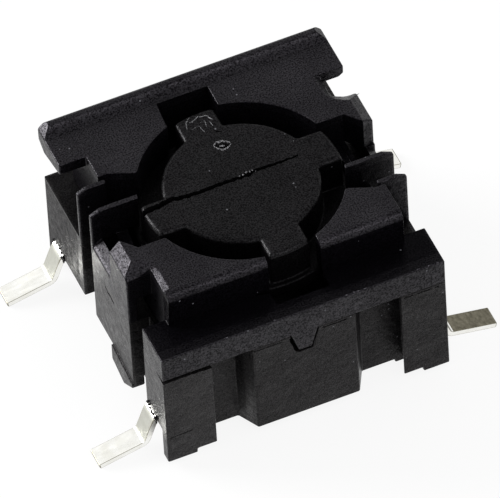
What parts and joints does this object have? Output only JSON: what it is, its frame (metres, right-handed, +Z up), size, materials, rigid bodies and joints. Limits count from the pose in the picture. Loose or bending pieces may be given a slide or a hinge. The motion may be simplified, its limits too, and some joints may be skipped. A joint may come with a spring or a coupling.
{
  "type": "tactile push button switch",
  "caption": "Square sealed tactile push button switch with a recessed cross-eared round button, a rear ridge, a front flange and bent feet for surface mounting.",
  "frame": {"origin": "on the circuit board, under the middle of the moulding", "axes": "+Z up out of the board along the button's axis, +Y towards the rear ridge, +X to the right seen from the front flange"},
  "size_m": [0.0142, 0.0098, 0.0069],
  "materials": {
    "moulding": "fine spark-eroded grain, black glass-filled thermoplastic",
    "button_plastic": "fine grain, black thermoplastic with a parting line",
    "silicone": "satin black silicone",
    "spring_steel": "bright rolled spring steel",
    "tin_plate": "bright tin plate on brass sheet"
  },
  "bodies": {
    "housing": {"lower_housing": "moulding", "upper_housing": "moulding", "sealing_boot": "silicone", "snap_dome": "spring_steel", "centre_contact_frame": "tin_plate", "outer_contact_frame": "tin_plate"},
    "button": {"button": "button_plastic"}
  },
  "joints": [
    {"name": "button_press", "type": "slide", "parent": "housing", "child": "button", "axis": [0, 0, -1], "range_m": [0, 0.0012], "stiffness_N_per_m": 2500, "springref_m": -0.0001, "deforming": ["sealing_boot", "snap_dome"]}
  ]
}
